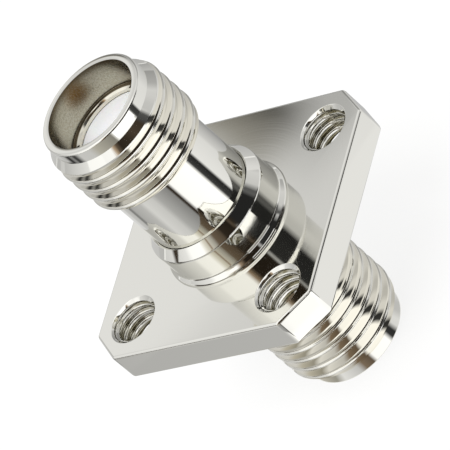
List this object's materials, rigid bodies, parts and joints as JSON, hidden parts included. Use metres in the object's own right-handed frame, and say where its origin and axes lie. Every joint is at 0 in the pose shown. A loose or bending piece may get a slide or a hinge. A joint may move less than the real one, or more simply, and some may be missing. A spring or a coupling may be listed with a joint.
{
  "type": "sma flange adapter",
  "caption": "Coaxial adapter with a threaded jack on each side of a square mounting flange, carrying a coaxial line through a panel.",
  "frame": {"origin": "on the axis of the jacks, in the rear face of the flange, which seats on the panel", "axes": "+Z along the axis towards the jack with the plain neck; X and Y along the sides of the flange"},
  "size_m": [0.0126, 0.0126, 0.0194],
  "materials": {
    "nickel_plated_body": "turned brass under bright nickel plate",
    "nickel_plated_barrel": "turned brass under bright nickel plate",
    "insulator": "machined white fluoropolymer",
    "contact": "gold-plated spring copper alloy"
  },
  "bodies": {
    "root": {"flange_body": "nickel_plated_body", "front_barrel": "nickel_plated_barrel", "front_insulator": "insulator", "rear_insulator": "insulator", "centre_contact": "contact"}
  },
  "joints": []
}
